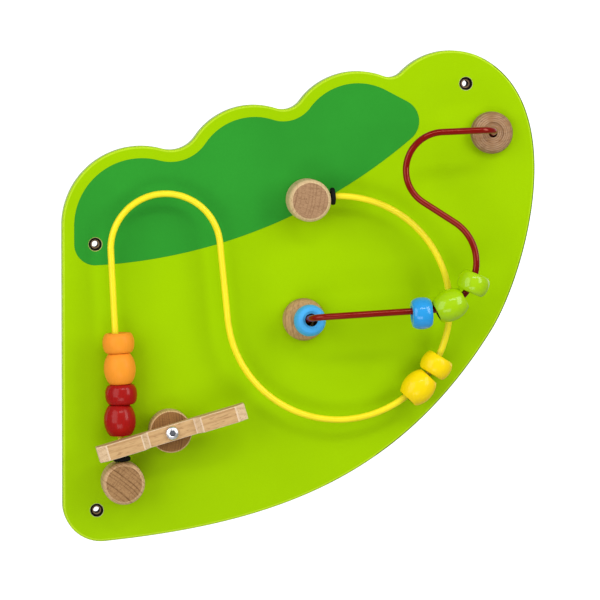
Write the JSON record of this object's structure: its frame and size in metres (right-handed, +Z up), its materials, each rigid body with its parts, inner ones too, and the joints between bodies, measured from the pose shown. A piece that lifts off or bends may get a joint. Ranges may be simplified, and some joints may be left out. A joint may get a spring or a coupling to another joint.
{
  "type": "activity board",
  "caption": "Wall-hung play board with two bent wires, sliding wooden beads and a rocker lever that lifts a bead stack.",
  "frame": {"origin": "on the board's flat back face, within 2 mm of the middle of the board's width and height", "axes": "+X to the right seen from the front, +Z up, +Y into the wall; the front faces -Y"},
  "size_m": [0.3941, 0.0772, 0.4061],
  "materials": {
    "lime_lacquer": "glossy lime green lacquer on a board",
    "dark_green_paint": "satin printed paint film",
    "beech": "clear satin lacquer on beech",
    "steel": "bright zinc plated steel",
    "rubber": "matt black rubber",
    "yellow_coat": "smooth yellow coating on a steel rod",
    "red_coat": "glossy dark red coating on a steel rod",
    "red_paint": "satin red stain and lacquer on turned wood",
    "orange_paint": "satin orange paint on turned wood",
    "yellow_paint": "glossy yellow paint on turned wood",
    "blue_paint": "glossy blue paint on turned wood",
    "green_paint": "glossy light green paint on turned wood"
  },
  "bodies": {
    "board": {"board": "lime_lacquer", "dark_green_field": "dark_green_paint", "upper_post": "beech", "lower_post": "beech", "centre_base": "beech", "right_base": "beech", "lever_base": "beech", "pivot_bolt": "steel", "lever_washer": "steel", "pivot_nut": "steel", "yellow_wire": "yellow_coat", "red_wire": "red_coat", "upper_rubber_ring": "rubber", "lower_rubber_ring": "rubber", "upper_post_screw": "steel", "lower_post_screw": "steel", "centre_base_screw_left": "steel", "centre_base_screw_right": "steel", "right_base_screw_left": "steel", "right_base_screw_right": "steel"},
    "lever": {"lever": "beech"},
    "red_barrel_bead": {"red_barrel_bead": "red_paint"},
    "red_flat_bead": {"red_flat_bead": "red_paint"},
    "orange_barrel_bead": {"orange_barrel_bead": "orange_paint"},
    "orange_flat_bead": {"orange_flat_bead": "orange_paint"},
    "yellow_barrel_bead": {"yellow_barrel_bead": "yellow_paint"},
    "yellow_flat_bead": {"yellow_flat_bead": "yellow_paint"},
    "centre_blue_bead": {"centre_blue_bead": "blue_paint"},
    "sliding_blue_bead": {"sliding_blue_bead": "blue_paint"},
    "green_barrel_bead": {"green_barrel_bead": "green_paint"},
    "green_flat_bead": {"green_flat_bead": "green_paint"}
  },
  "joints": [
    {"name": "lever_rock", "type": "hinge", "parent": "board", "child": "lever", "pos_m": [-0.1075, -0.0415, -0.1102], "axis": [0, 1, 0], "range_deg": [0, 36]},
    {"name": "red_barrel_lift", "type": "slide", "parent": "board", "child": "red_barrel_bead", "axis": [-0.051, 0, 0.9987], "range_m": [0, 0.0285]},
    {"name": "red_flat_slide", "type": "slide", "parent": "red_barrel_bead", "child": "red_flat_bead", "axis": [-0.051, 0, 0.9987], "range_m": [0, 0.012]},
    {"name": "orange_barrel_slide", "type": "slide", "parent": "red_flat_bead", "child": "orange_barrel_bead", "axis": [-0.051, 0, 0.9987], "range_m": [0, 0.012]},
    {"name": "orange_flat_slide", "type": "slide", "parent": "orange_barrel_bead", "child": "orange_flat_bead", "axis": [-0.051, 0, 0.9987], "range_m": [0, 0.012]},
    {"name": "yellow_barrel_ride", "type": "hinge", "parent": "board", "child": "yellow_barrel_bead", "pos_m": [0.03199, -0.036, -0.00907], "axis": [0, -1, 0], "range_deg": [-115, 55]},
    {"name": "yellow_flat_ride", "type": "hinge", "parent": "yellow_barrel_bead", "child": "yellow_flat_bead", "pos_m": [0.03199, -0.036, -0.00907], "axis": [0, -1, 0], "range_deg": [0, 55]},
    {"name": "green_barrel_ride", "type": "hinge", "parent": "board", "child": "green_barrel_bead", "pos_m": [0.1037, -0.064, 0.0296], "axis": [0, -1, 0], "range_deg": [0, 30]},
    {"name": "green_flat_ride", "type": "hinge", "parent": "green_barrel_bead", "child": "green_flat_bead", "pos_m": [0.1037, -0.064, 0.0296], "axis": [0, -1, 0], "range_deg": [0, 35]},
    {"name": "sliding_blue_slide", "type": "slide", "parent": "board", "child": "sliding_blue_bead", "axis": [-0.9983, 0, -0.0588], "range_m": [0, 0.062]},
    {"name": "centre_blue_slide", "type": "slide", "parent": "board", "child": "centre_blue_bead", "axis": [0.1017, -0.9877, 0.1191], "range_m": [0, 0.008]}
  ],
  "couplings": [
    {"joint": "red_barrel_lift", "follows": "lever_rock", "m_per_rad": 0.0447}
  ]
}
